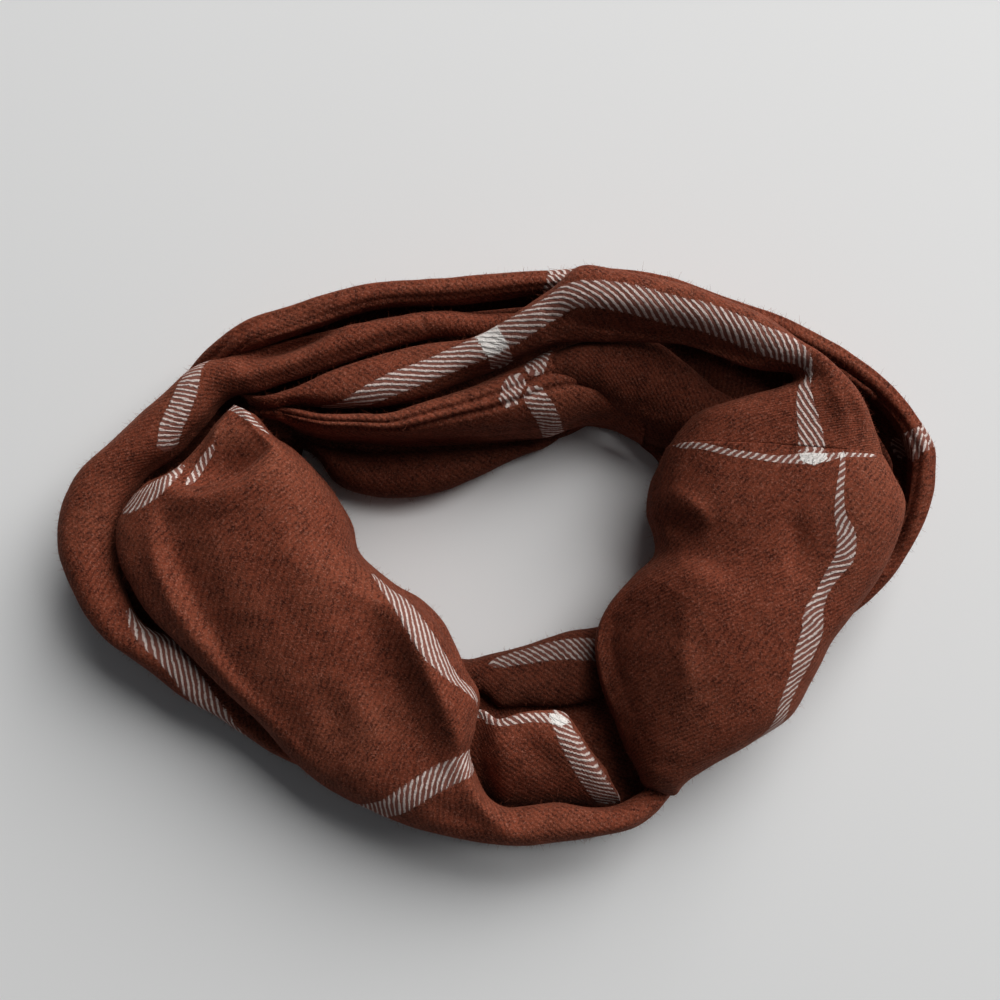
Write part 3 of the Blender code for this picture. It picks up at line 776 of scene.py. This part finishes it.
RIGHT_LOBE = (
    (166, 36.5, 50, 74, 43.2, 38, 0.33, 67.8, 2, 20),
    (171, 27, 48, 68, 29, 30, 0.3, 69, 2, 14),
    (175, 16, 46, 66, 15, 28, 0.3, 69, 2, 13),
    (172, 3, 46, 69, 4, 28, 0.3, 68, 2, 13),
    (166, -10, 46, 69, -5, 28, 0.3, 67, 2, 13),
    (158, -23, 45, 59, -15, 28, 0.3, 66, 2, 13),
    (150, -34, 44, 49, -26, 27, 0.3, 66, 3, 12),
    (142, -46, 41, 43, -38, 26, 0.3, 66, 6, 11),
    (139, -54, 36, 42, -46, 26, 0.31, 66, 18, 11),
    (135, -62, 31, 43, -55, 25, 0.32, 65, 15, 10),
    (126, -76, 28, 46, -67, 24, 0.34, 62, 12, 9),
    (109, -88, 26, 51, -80, 23, 0.36, 57, 10, 8),
    (93, -97, 25, 56, -93, 22, 0.4, 50, 9, 7),
    (78, -108, 28, 61, -103, 27, 0.5, 40, 2, 2),
    (76.5, -110.5, 27, 62, -106, 26, 0.5, 35, 2, 2),
    (74, -112, 25, 64, -108.5, 24.5, 0.5, 25.6, 1, 1),
)

RIGHT_LOBE_FOLDS = (
    (50, -6, 38, -47, 50, -100, 30, 10, -15.5),
    (78, -13, 78, -47, 79, -85, 10, 6, 2.5),
    (68, 10, 75, 7, 85, -2, 5, 6, -4),
    (70, 24, 81, 15, 91, 4, 4, 5, 2.5),
    (72, -8, 84, -17, 99, -31, 7, 7, 3),
    (119, 10, 124, -1, 120, -14, 5, 5, -2.5),
    (125, -14, 112, -30, 86, -64, 9, 9, 2.5),
    (79, -36, 82, -47, 78, -55, 5, 5, -2),
    (142, 29, 149, 7, 133, -26, 9, 9, 1.5),
)

RIGHT_LOBE_STRIPES = {
    "lengthwise": (
        ((1.0,), (
            (143.5, 35, 68, 2), (143, 30, 68.7, 2.5), (141.5, 20, 69.4, 3.2), (141.5, 9, 69, 5),
            (144, 0, 68.2, 8), (143.3, -8, 67.6, 8), (138, -16, 66.7, 6), (133.5, -24, 66, 5.5),
            (130.5, -31, 65.5, 8.5), (129.6, -40, 64, 10.5), (126, -50, 62, 10),
            (122.6, -58, 60, 8), (119, -69.5, 58, 7), (116.5, -78.5, 50.8, 8),
            (112.9, -83.8, 43.9, 9), (109.3, -87.3, 36.2, 10), (104, -90.9, 28.5, 10),
            (99.6, -93.1, 22, 10),
        )),
        ((1.0,), (
            (131, 37, 68.6, 11.5), (131, 35, 68.6, 11.5), (131, 33, 68.6, 11.5),
        )),
    ),
    "crosswise": (
        ((-1.0,), (
            (78, 41.5, 44, 2.6), (85.6, 40.4, 57.7, 2.8), (96.4, 37, 62.9, 3), (106.5, 35, 65.7, 3),
            (116.8, 33.4, 67.5, 3.2), (125, 33.4, 68, 4.5), (130, 33.4, 68.5, 5),
            (136, 33.8, 68.4, 4), (143, 35, 68, 2.2), (149.8, 35.2, 66.9, 1.9),
            (157.7, 35.2, 63.3, 1.6),
        )),
    ),
}

lay_cloth(
    "right_lobe", RIGHT_LOBE, along=260, across=110, fullness=0.85,
    folds=RIGHT_LOBE_FOLDS,
    stripes=RIGHT_LOBE_STRIPES,
)

# The left lobe: the broad turn that lies over the left end and runs on along the front as the
# bottom band. Its tip is pinched, and soft troughs run down from it. Five stripes show.

LEFT_LOBE = (
    (-120, 61, 42, -111, 57, 40, 0.5, 46, 6, 6),
    (-127, 53, 43, -104, 49, 37, 0.55, 52, 8, 8),
    (-135, 42, 43, -94, 42, 34, 0.65, 57, 10, 10),
    (-146, 31, 42, -84, 32, 32, 0.7, 60, 12, 14),
    (-160, 24, 42, -76, 20, 30, 0.7, 62, 12, 15),
    (-170, 9, 42, -69, 8, 30, 0.72, 62, 12, 15),
    (-170, -6, 42, -66, -3, 30, 0.74, 62, 12, 15),
    (-163, -20, 42, -57, -12, 30, 0.76, 62, 8, 15),
    (-156, -31, 42, -47, -20, 30, 0.78, 62, 2, 15),
    (-144, -43, 42, -37, -26, 30, 0.8, 62, 2, 15),
    (-132, -55, 41, -28, -35, 30, 0.8, 62, 2, 15),
    (-119, -68, 39, -22, -46, 30, 0.8, 61, 2, 14),
    (-106, -80, 36, -17, -56, 31, 0.8, 60, 2, 10),
    (-93, -95, 32, -11, -67, 35, 0.8, 59, 3, 6),
    (-78, -108, 26, -12, -80, 38, 0.8, 57, 9, 3),
    (-60, -117, 25, -15, -91, 37, 0.8, 54, 9, 3),
    (-42, -124, 24, -12, -102, 35, 0.78, 50, 8, 3),
    (-24, -129, 24, -6, -112, 34, 0.68, 46, 8, 3),
    (-8, -132, 24, 1, -116, 33, 0.56, 43, 8, 3),
    (8, -133.5, 23, 9, -115.5, 33, 0.5, 42, 7, 1),
    (26, -132, 23, 24, -114, 32, 0.5, 42, 7, 1),
    (42, -130, 23, 40, -116, 32, 0.5, 41, 7, 1),
    (58, -126, 22, 52, -115, 30, 0.5, 38, 6, 1),
    (69, -119, 20, 62, -111, 26, 0.5, 32, 4, 2),
    (78, -109, 17, 71, -102, 18, 0.5, 22, 2, 1),
)

LEFT_LOBE_FOLDS = (
    (-147, 20, -132, -26, -100, -72, 14, 5, -6),
    (-108, -63, -87, -85, -69, -100, 12, 5, -3),
    (-151, 12, -144, -22, -123, -53, 5, 5, 3),
    (-127, -49, -108, -71, -87, -87, 5, 5, 2.5),
    (-146, 25, -122, 27, -99, 44, 16, 1.8, -13),
    (-146, 18, -116, 21, -96, 40, 1.8, 9, 4.5),
    (-118, 62, -107, 50, -97, 38, 3, 3, 4),
    (-103, 16, -81, -22, -60, -59, 10, 10, 2.2),
    (-66, -20, -45, -66, -26, -108, 10, 24, -7.5),
    (-78, -59, -73, -76, -67, -95, 7, 7, -3),
    (-64, -59, -59, -74, -54, -89, 5, 5, 1.5),
    (-54, -8, -28, -62, -11, -102, 7, 5, 5),
    (-18, -88, -7, -114, 8, -130, 5, 5, 3.5),
    (-36, -106, -21, -118, -6, -124, 6, 6, -2.5),
    (-123, 60, -127, 46, -135, 30, 3, 3, 2.5),
)

LEFT_LOBE_STRIPES = {
    "lengthwise": (
        ((2.2,), (
            (-54, -13, 46, 6), (-47, -20, 53, 9), (-41, -29, 57, 11), (-36, -37, 58.5, 11),
            (-31, -44.5, 58, 11), (-27, -50, 56.5, 10), (-21, -56, 54.5, 8), (-17, -60, 52, 6),
            (-11, -65, 47, 6), (-8, -69, 42, 7),
        )),
    ),
    "crosswise": (
        ((-1.0,), (
            (-124, 60, 40, 5), (-119, 60.5, 46, 6), (-114, 57.5, 48, 6), (-110, 53.5, 47.5, 5),
            (-106, 49, 45, 3),
        )),
        ((-1.0,), (
            (-126, 49, 56, 3), (-129, 43, 57.8, 4), (-133.2, 35.3, 57.3, 4.5),
            (-137.1, 26.3, 59.7, 4),
        )),
        ((-1.0,), (
            (-164.4, 16.7, 30.8, 10), (-167.1, 15, 36.4, 10), (-166.3, 16.7, 42, 10),
            (-163.8, 16.6, 49.1, 10), (-157, 20, 55, 10), (-151, 24.5, 57.5, 10), (-146, 31, 55, 9),
            (-144, 34, 50, 7),
        )),
        ((-1.0,), (
            (-65.8, -113.6, 17.4, 11), (-64.6, -114.9, 22.2, 11), (-62.5, -115.8, 28.2, 11),
            (-57.8, -117.1, 33.2, 11), (-50, -116, 43.5, 11), (-39, -109, 52, 11),
            (-28, -102, 54.3, 11), (-19, -97, 51, 11), (-14, -95, 43, 11), (-12, -94, 37, 11),
        )),
    ),
}

lay_cloth(
    "left_lobe", LEFT_LOBE, along=380, across=104, fullness=0.85,
    folds=LEFT_LOBE_FOLDS,
    stripes=LEFT_LOBE_STRIPES,
)

# The inner hem band: the hemmed edge of the inner turn, which stands round the back of the
# neck opening. Two rows of topstitching split it into low ridges, crossed by white stripes.

INNER_HEM = (
    (-115, 62, 29, -112, 57, 25, 0.5, 32, 2, 2),
    (-106, 61, 33, -103, 56, 28, 0.5, 37, 2, 2),
    (-96, 60.5, 40, -96, 53, 24, 0.5, 44, 4, 4),
    (-80, 57.5, 42, -82, 49, 17, 0.5, 49, 5, 3),
    (-64, 57, 42, -66, 48, 14, 0.5, 50, 5, 2),
    (-50, 57, 42, -50, 47.5, 14, 0.5, 50, 5, 2),
    (-38, 61, 42, -36, 48, 14, 0.45, 50, 5, 2),
    (-24, 66, 42, -22, 48.5, 14, 0.42, 50, 5, 2),
    (-8, 72, 42, -6, 49, 14, 0.4, 50, 5, 2),
    (8, 79, 42, 8, 50, 14, 0.38, 50, 5, 2),
    (22, 85.9, 42, 22, 51, 15, 0.35, 49, 5, 2),
    (33, 86, 38, 37, 56, 14, 0.35, 45, 4, 2),
    (46, 85, 33, 51, 56, 9, 0.35, 40, 4, 2),
    (60, 80, 28, 66, 49, 8, 0.35, 33, 4, 2),
)

INNER_HEM_STRIPES = {
    "crosswise": (
        ((-0.6,), (
            (17, 85, 42, 10), (15, 80, 47, 10), (13.2, 75.4, 48.7, 10),
        )),
        ((-0.6,), (
            (6.5, 72, 49.2, 9), (4.8, 69.4, 49.5, 9), (3.2, 65, 49, 9), (2.1, 61.5, 48.3, 9),
        )),
        ((-0.8,), (
            (12.7, 66, 49, 10), (15.5, 62, 46.5, 10), (18.7, 58, 42.8, 10), (21, 55, 34, 10),
            (23, 53, 22, 10), (24, 52.5, 15, 10),
        )),
    ),
}

INNER_HEM_GROOVES = (
    (0.29, 1.2, 2.2),
    (0.39, 1.4, 1.9),
)

lay_cloth(
    "inner_hem_band", INNER_HEM, along=220, across=72, fullness=0.85,
    grooves=INNER_HEM_GROOVES,
    stripes=INNER_HEM_STRIPES,
)

# The twist flap: the inner turn where it twists down beside the right lobe into the opening.
# It is the same flannel, darkened with painted shade, and carries on out of sight under its neighbours.

TWIST_FLAP = (
    (15, 80, 41, 21, 72, 43, 0.4, 47, 2, 2),
    (25, 86, 42, 31, 71, 41, 0.35, 50, 2, 2),
    (35, 90, 42, 41, 68, 36, 0.28, 51, 2, 2),
    (46, 92, 42, 51, 61, 27, 0.22, 50.5, 2, 2),
    (58, 93, 42, 60, 55, 16, 0.2, 49.5, 2, 2),
    (71, 90, 40, 68, 50, 11, 0.2, 47, 2, 2),
    (82, 83, 37, 76, 47, 10, 0.2, 43, 2, 2),
    (94, 73, 32, 86, 45, 10, 0.2, 37, 2, 2),
    (108, 66, 28, 100, 45, 10, 0.2, 32, 2, 2),
)

lay_cloth(
    "twist_flap", TWIST_FLAP, along=130, across=70, fullness=1.0,
    finish=shaded_flannel,
)

# The inner back layer: a lower layer of the same turn that shows at the foot of the hem band.
# It is a low soft roll of the flannel, darkened most with painted shade, pressed down by the turns above.

INNER_BACK_LAYER = (
    (-99, 54, 11, -97, 48, 10, 0.5, 17, 2, 4),
    (-88, 49, 10, -87, 41, 9, 0.5, 18, 3, 5),
    (-76, 46, 9, -79, 31, 8, 0.5, 19, 3, 5),
    (-62, 44.5, 9, -66, 25, 8, 0.5, 19, 3, 5),
    (-45, 45, 9, -47, 23, 8, 0.5, 19, 3, 5),
    (-26, 45, 9, -27, 27, 8, 0.5, 18, 3, 5),
    (-9, 46, 9, -8, 35, 8, 0.5, 16, 2, 4),
    (5, 48, 9, 8, 43, 8, 0.5, 13, 1, 3),
    (18, 51, 9, 20, 47, 8, 0.5, 11, 1, 3),
    (31, 57, 9, 31, 54, 8, 0.5, 9.5, 1, 2),
)

INNER_BACK_FOLDS = (
    (-89, 52, -75, 38, -51, 28, 6, 6, 2.5),
    (-98, 62, -90, 52, -84, 44, 3, 3, 2.5),
    (-96, 55, -97, 50, -84, 34, 3, 3, -3),
)

lay_cloth(
    "inner_back_layer", INNER_BACK_LAYER, along=180, across=50, fullness=0.9,
    folds=INNER_BACK_FOLDS,
    finish=deep_shade_flannel,
)

# The bottom tuck: where the inner turn tucks down under the lobes at the front. A white stripe
# runs along its lip and down its face.

BOTTOM_TUCK = (
    (-20, -76, 26, -18, -108, 21, 0.3, 29, 3, 0),
    (-10, -74, 31, -9, -114, 17, 0.25, 33, 4, 1),
    (-3, -78, 37, -1, -118, 17, 0.25, 41, 4, 1),
    (8, -75, 39, 9, -118, 17, 0.25, 43, 4, 1),
    (17, -74, 39, 21, -117, 17, 0.25, 43, 4, 1),
    (27, -75, 38, 34, -117, 17, 0.25, 42, 4, 1),
    (36, -88, 33, 44, -117, 18, 0.3, 37, 4, 1),
    (46, -101, 27, 53, -116, 19, 0.4, 31, 3, 1),
)

BOTTOM_TUCK_FOLDS = (
    (6, -78, 14, -92, 30, -106, 7, 7, -2.5),
)

BOTTOM_TUCK_STRIPES = {
    "crosswise": (
        ((-1.0,), (
            (24, -75, 39, 9), (27, -82, 42, 9), (31, -90, 41, 9.5), (35, -97, 38, 10),
            (39, -104, 34, 10.5), (44, -111, 29, 11), (48, -116, 24, 11),
        )),
    ),
    "lengthwise": (
        ((1.0,), (
            (-16, -75, 29, 4), (-8, -76, 35, 4), (0, -79, 39, 4), (8, -77, 41, 4.5),
            (17, -76.5, 41.5, 4.5), (26, -78, 41, 5),
        )),
    ),
}

lay_cloth(
    "bottom_tuck", BOTTOM_TUCK, along=120, across=80, fullness=1.3,
    folds=BOTTOM_TUCK_FOLDS,
    stripes=BOTTOM_TUCK_STRIPES,
)

# The inner front strip: the lowest layer at the front of the opening, striped along its edge.
# It lies nearly flat on the hidden layers, darkened most with painted shade.

INNER_FRONT_STRIP = (
    (-27, -52, 9, -22, -66, 10, 0.4, 14, 3, 1),
    (-16, -53, 10, -9, -68, 11, 0.4, 16, 3, 1),
    (-6, -50, 9, -2, -74, 10, 0.35, 17, 4, 2),
    (8, -46, 9, 10, -74, 10, 0.35, 18, 4, 2),
    (22, -42, 9, 24, -74, 10, 0.35, 18, 4, 2),
    (34, -39, 9, 36, -72, 10, 0.35, 18, 4, 2),
    (41, -38, 9, 42, -70, 10, 0.4, 16, 4, 2),
    (55, -34, 9, 54, -66, 10, 0.4, 15, 3, 1),
)

INNER_FRONT_STRIPES = {
    "lengthwise": (
        ((1.0,), (
            (-4, -54, 16, 5), (2, -52, 17, 7), (12, -50, 17.5, 8), (24, -48, 17.5, 9),
            (36, -47.5, 17.5, 10), (44, -48, 16, 10),
        )),
    ),
}

lay_cloth(
    "inner_front_strip", INNER_FRONT_STRIP, along=90, across=60, fullness=0.9,
    stripes=INNER_FRONT_STRIPES,
    finish=deep_shade_flannel,
)

# The hidden layers: the rest of both turns, which lie folded under the stretches above and
# show as two rolled edges all round the foot and in the wall of the opening.

MERGE_DISTANCE = 0.01 * MM
SMOOTHING_TURNS = 3
EDGE_WAVE = Wave(0.9, 24, 9, 0, 0)
# The waves fade out over this height above the floor, so that the underside rests flat.
FLOOR_CALM = 3.0
EDGE_GROOVE_HEIGHT = 7.2
EDGE_GROOVE_DEPTH = 1.6
EDGE_GROOVE_WIDTH = 1.1
EDGE_GROOVE_WANDER = Wave(1.2, 25, 1, 0, 0)
# The top lies lower than its solid, so that it doesn't come through the stretches' creases.
TOP_SINK = 13.0
TOP_SINK_FROM = 17.0
TOP_SINK_OVER = 14.0
RING_RADIUS = 0.145
BUNDLE_LENGTH = 0.95

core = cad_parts["hidden_layers"]
bm = bmesh.new()
bm.from_mesh(core.data)
bmesh.ops.remove_doubles(bm, verts=bm.verts, dist=MERGE_DISTANCE)
bmesh.ops.subdivide_edges(bm, edges=bm.edges, cuts=2, use_grid_fill=True)
for turn in range(SMOOTHING_TURNS):
    inside = [vertex for vertex in bm.verts if not vertex.is_boundary]
    bmesh.ops.smooth_vert(bm, verts=inside, factor=0.5, use_axis_x=True, use_axis_y=True, use_axis_z=True)
bm.normal_update()
for vertex in bm.verts:
    x, y, z = vertex.co / MM
    groove_height = EDGE_GROOVE_HEIGHT + ripple((x, y, 0.0), EDGE_GROOVE_WANDER)
    groove = math.exp(-(((z - groove_height) / EDGE_GROOVE_WIDTH) ** 2))
    steep = 1 - abs(vertex.normal.z)
    wave = ripple((x, y, z), EDGE_WAVE) * min(1.0, max(z, 0.0) / FLOOR_CALM)
    vertex.co += vertex.normal * (wave - EDGE_GROOVE_DEPTH * groove * steep) * MM
    vertex.co.z -= TOP_SINK * min(max((z - TOP_SINK_FROM) / TOP_SINK_OVER, 0.0), 1.0) * MM
core_mesh = bpy.data.meshes.new("hidden_layers_cloth")
uv = bm.loops.layers.uv.new("weave")
for face in bm.faces:
    for loop in face.loops:
        spot = loop.vert.co
        angle = math.atan2(spot.y, spot.x)
        loop[uv].uv = (angle * RING_RADIUS, math.hypot(spot.x, spot.y) + spot.z)
bm.to_mesh(core_mesh)
bm.free()
core_mesh.shade_smooth()
unstriped = np.tile(NO_STRIPE, (len(core_mesh.vertices), 1))
write_marks(core_mesh, {way: unstriped for way in STRIPE_WAYS})
# The shaded flannel paints shade on the hidden layers, which lie under the stretches above.
hidden_layers = walled(core_mesh, shaded_flannel)
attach(hidden_layers, "root")
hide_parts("hidden_layers")
core_area = sum(face.area for face in core_mesh.polygons)
flat_size = (core_area / BUNDLE_LENGTH, BUNDLE_LENGTH)

# The nap: loose fibre ends that brushing has pulled out of the yarns, about 1 mm long. They
# lean every way all over the cloth, and soften its outline.

FIBRES = 40000
FIBRE_COLOUR = (0.25, 0.078, 0.043, 1.0)
FIBRE_ROUGHNESS = 0.9
FIBRE_HALF_WIDTH = 0.05
FIBRE_LENGTHS = (0.5, 1.8)
FIBRE_TRIM = (0.4, 1.0)
FIBRE_SCATTER = 0.35
FIBRE_RISE = 0.8
FIBRE_LEAN = 0.75
FIBRE_CURL = 0.35
FIBRE_JOINTS = (0.0, 0.55, 1.0)
FIBRE_TAPER = 0.6
FIBRE_TWIST = 6.0
SEED = 7

places = []
upward = []
sizes = []
for points, normals in napped:
    corner = points[:-1, :-1]
    next_row = points[1:, :-1]
    next_column = points[:-1, 1:]
    places.append((0.25 * (corner + next_row + next_column + points[1:, 1:])).reshape(-1, 3))
    upward.append(normals[:-1, :-1].reshape(-1, 3))
    sizes.append(np.linalg.norm(np.cross(next_row - corner, next_column - corner), axis=2).ravel())
places = np.vstack(places)
upward = np.vstack(upward)
sizes = np.concatenate(sizes)

chance = np.random.default_rng(SEED)
chosen = chance.choice(len(places), FIBRES, p=sizes / sizes.sum())
upward = upward[chosen]
roots = places[chosen] + chance.normal(0.0, FIBRE_SCATTER, (FIBRES, 3))
roots -= upward * ((roots - places[chosen]) * upward).sum(axis=1, keepdims=True)
lean = FIBRE_RISE * upward + chance.normal(0.0, FIBRE_LEAN, (FIBRES, 3))
curl = chance.normal(0.0, FIBRE_CURL, (FIBRES, 3))
lengths = chance.uniform(*FIBRE_LENGTHS, (FIBRES, 1)) * chance.uniform(*FIBRE_TRIM, (FIBRES, 1))
fibres = bpy.data.curves.new("nap_fibres", "CURVE")
fibres.dimensions = "3D"
fibres.extrude = FIBRE_HALF_WIDTH * MM
for root, rise, bend, length in zip(roots, lean, curl, lengths):
    fibre = fibres.splines.new("POLY")
    fibre.points.add(len(FIBRE_JOINTS) - 1)
    for share, point in zip(FIBRE_JOINTS, fibre.points):
        spot = root + length * (share * rise + share**2 * bend) - np.array([*RING_CENTRE, 0.0])
        point.co = (*(spot * MM), 1.0)
        point.radius = 1.0 - FIBRE_TAPER * share
        point.tilt = bend[0] * FIBRE_TWIST
holder = bpy.data.objects.new("nap_fibres", fibres)
bpy.context.scene.collection.objects.link(holder)
nap_mesh = bpy.data.meshes.new_from_object(holder)
bpy.data.objects.remove(holder)
nap = bpy.data.objects.new("nap", nap_mesh)
bpy.context.scene.collection.objects.link(nap)
nap_mesh.materials.clear()
nap_mesh.materials.append(plain_material("brushed_fibre", FIBRE_COLOUR, FIBRE_ROUGHNESS))
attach(nap, "root")
